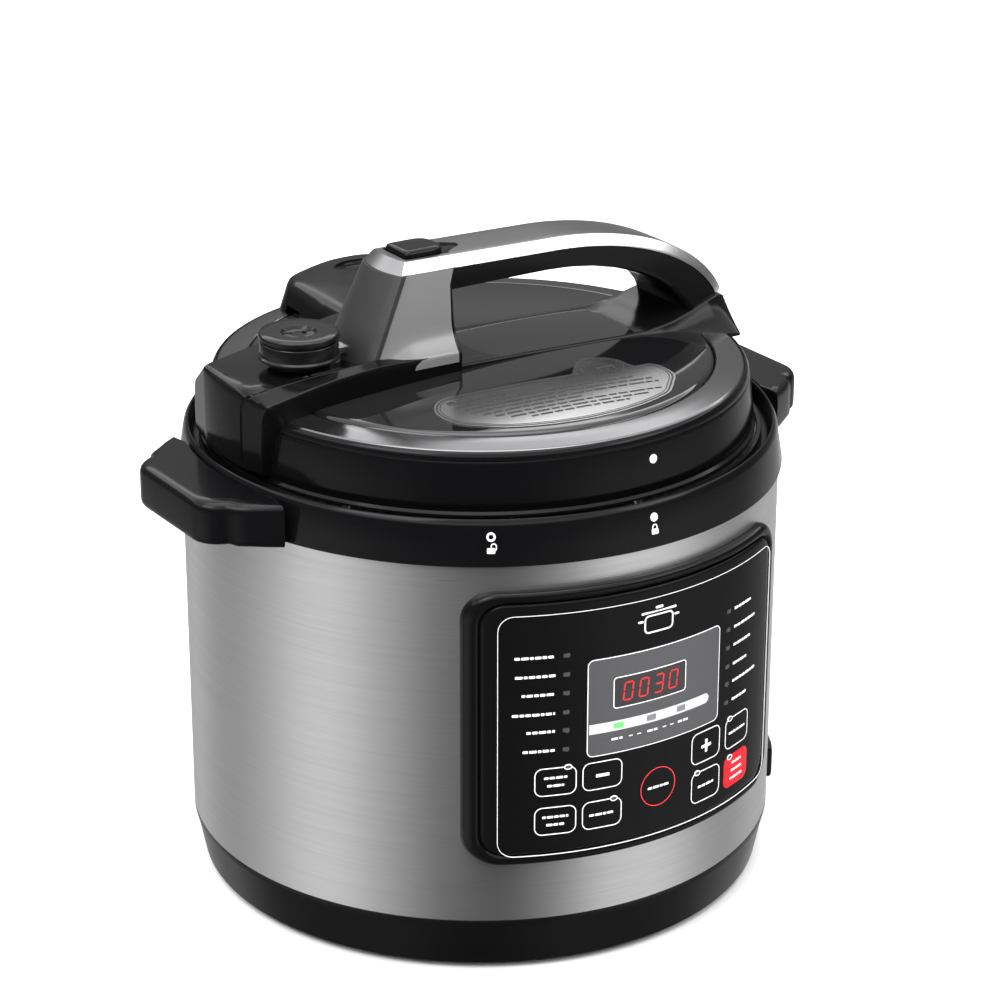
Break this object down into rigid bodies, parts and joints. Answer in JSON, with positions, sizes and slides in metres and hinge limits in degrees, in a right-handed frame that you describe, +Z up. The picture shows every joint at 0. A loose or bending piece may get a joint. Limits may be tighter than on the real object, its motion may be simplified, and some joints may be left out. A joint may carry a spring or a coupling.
{
  "type": "electric pressure cooker",
  "caption": "Electric multi-use pressure cooker with a brushed steel body, curved control panel, twist-lock domed lid, lid handle with steam release, side grips and a drip cup.",
  "frame": {"origin": "on the cooker's vertical axis, at the plane its rubber feet stand on", "axes": "+Z up; -Y out through the control panel; +X to the right seen from the front, along the line of the two side grips"},
  "size_m": [0.36, 0.3172, 0.3356],
  "materials": {
    "black_plastic": "gloss",
    "base_plastic": "satin",
    "shell_steel": "brushed",
    "inner_steel": "satin",
    "plated_steel": "bright",
    "aluminium": "satin",
    "silver_trim": "satin",
    "label_metal": "satin",
    "rubber": "matte",
    "silicone": "matte",
    "panel_black": "gloss",
    "window_grey": "tinted",
    "key_black": "gloss",
    "key_red": "gloss",
    "led_red": "gloss",
    "led_clear": "gloss",
    "board_green": "satin",
    "relay_blue": "satin",
    "coil_yellow": "satin",
    "switch_white": "satin",
    "cup_plastic": "translucent",
    "element_steel": "oxidised",
    "brass": "plain",
    "float_red": "gloss"
  },
  "bodies": {
    "base": {"base_housing": "base_plastic", "base_cover": "plated_steel", "rubber_feet": "rubber", "base_screws": "plated_steel", "outer_shell": "shell_steel", "upper_collar": "black_plastic", "left_side_handle": "black_plastic", "right_side_handle": "black_plastic", "side_handle_screws": "plated_steel", "outer_pot": "aluminium", "bayonet_ring": "inner_steel", "bayonet_screws": "plated_steel", "inner_pot": "inner_steel", "heating_plate": "aluminium", "heating_element": "element_steel", "spring_plate": "plated_steel", "pressure_switch": "switch_white", "sensor_spring": "plated_steel", "power_board": "board_green", "power_relay": "relay_blue", "transformer": "coil_yellow", "panel_frame": "base_plastic", "panel_overlay": "panel_black", "display_window": "window_grey", "led_display": "led_red", "control_board": "board_green", "tact_switches": "switch_white", "indicator_leds": "led_clear", "power_inlet": "base_plastic", "inlet_pins": "brass", "cup_bracket": "base_plastic"},
    "thermostat": {"thermostat_sensor": "aluminium"},
    "cup": {"condensation_cup": "cup_plastic"},
    "lid_carrier": {"sealing_ring": "silicone", "seal_rack": "plated_steel"},
    "lid": {"lid_plate": "inner_steel", "lid_cover": "black_plastic", "lid_band": "black_plastic", "exhaust_pipe": "plated_steel", "anti_block_shield": "plated_steel", "handle_base": "black_plastic", "handle_grip": "black_plastic", "handle_cap": "silver_trim", "float_valve_hood": "black_plastic", "label_plate": "label_metal", "lid_screws": "plated_steel", "button_spring": "plated_steel"},
    "pressure_valve": {"pressure_valve": "black_plastic"},
    "float_valve": {"float_valve": "float_red"},
    "release_button": {"release_button": "key_black"},
    "release_lever": {"release_lever": "plated_steel"},
    "key_delay": {"key_delay": "key_black"},
    "key_pressure": {"key_pressure": "key_black"},
    "key_minus": {"key_minus": "key_black"},
    "key_manual": {"key_manual": "key_black"},
    "key_select": {"key_select": "key_black"},
    "key_plus": {"key_plus": "key_black"},
    "key_saute": {"key_saute": "key_black"},
    "key_slow_cook": {"key_slow_cook": "key_black"},
    "key_cancel": {"key_cancel": "key_red"}
  },
  "joints": [
    {"name": "lid_lift", "type": "slide", "parent": "base", "child": "lid_carrier", "axis": [0, 0, 1], "range_m": [0, 0.25]},
    {"name": "lid_turn", "type": "hinge", "parent": "lid_carrier", "child": "lid", "pos_m": [0, 0, 0.24], "axis": [0, 0, 1], "range_deg": [-30, 0]},
    {"name": "button_press", "type": "slide", "parent": "lid", "child": "release_button", "axis": [0, 0, -1], "range_m": [0, 0.004], "stiffness_N_per_m": 400, "deforming": ["button_spring"]},
    {"name": "lever_tilt", "type": "hinge", "parent": "lid", "child": "release_lever", "pos_m": [-0.062, 0, 0.291], "axis": [0, 1, 0], "range_deg": [0, 10.5]},
    {"name": "valve_lift", "type": "slide", "parent": "lid", "child": "pressure_valve", "axis": [0, 0, 1], "range_m": [0, 0.004]},
    {"name": "float_rise", "type": "slide", "parent": "lid", "child": "float_valve", "axis": [0, 0, 1], "range_m": [0, 0.0025]},
    {"name": "sensor_press", "type": "slide", "parent": "base", "child": "thermostat", "axis": [0, 0, -1], "range_m": [0, 0.003], "stiffness_N_per_m": 800, "deforming": ["sensor_spring"]},
    {"name": "cup_pull", "type": "slide", "parent": "base", "child": "cup", "axis": [0.7071, 0.7071, 0], "range_m": [0, 0.036]},
    {"name": "key_delay_press", "type": "slide", "parent": "base", "child": "key_delay", "axis": [0.3345, 0.9424, 0], "range_m": [0, 0.0006], "stiffness_N_per_m": 2000},
    {"name": "key_pressure_press", "type": "slide", "parent": "base", "child": "key_pressure", "axis": [0.3345, 0.9424, 0], "range_m": [0, 0.0006], "stiffness_N_per_m": 2000},
    {"name": "key_minus_press", "type": "slide", "parent": "base", "child": "key_minus", "axis": [0.1884, 0.9821, 0], "range_m": [0, 0.0006], "stiffness_N_per_m": 2000},
    {"name": "key_manual_press", "type": "slide", "parent": "base", "child": "key_manual", "axis": [0.1884, 0.9821, 0], "range_m": [0, 0.0006], "stiffness_N_per_m": 2000},
    {"name": "key_select_press", "type": "slide", "parent": "base", "child": "key_select", "axis": [-0.0095, 1, 0], "range_m": [0, 0.0006], "stiffness_N_per_m": 2000},
    {"name": "key_plus_press", "type": "slide", "parent": "base", "child": "key_plus", "axis": [-0.207, 0.9783, 0], "range_m": [0, 0.0006], "stiffness_N_per_m": 2000},
    {"name": "key_saute_press", "type": "slide", "parent": "base", "child": "key_saute", "axis": [-0.21, 0.9777, 0], "range_m": [0, 0.0006], "stiffness_N_per_m": 2000},
    {"name": "key_slow_cook_press", "type": "slide", "parent": "base", "child": "key_slow_cook", "axis": [-0.3612, 0.9325, 0], "range_m": [0, 0.0006], "stiffness_N_per_m": 2000},
    {"name": "key_cancel_press", "type": "slide", "parent": "base", "child": "key_cancel", "axis": [-0.3641, 0.9313, 0], "range_m": [0, 0.0006], "stiffness_N_per_m": 2000}
  ],
  "couplings": [
    {"joint": "lever_tilt", "follows": "button_press", "rad_per_m": 45},
    {"joint": "valve_lift", "follows": "button_press", "ratio": 1}
  ]
}
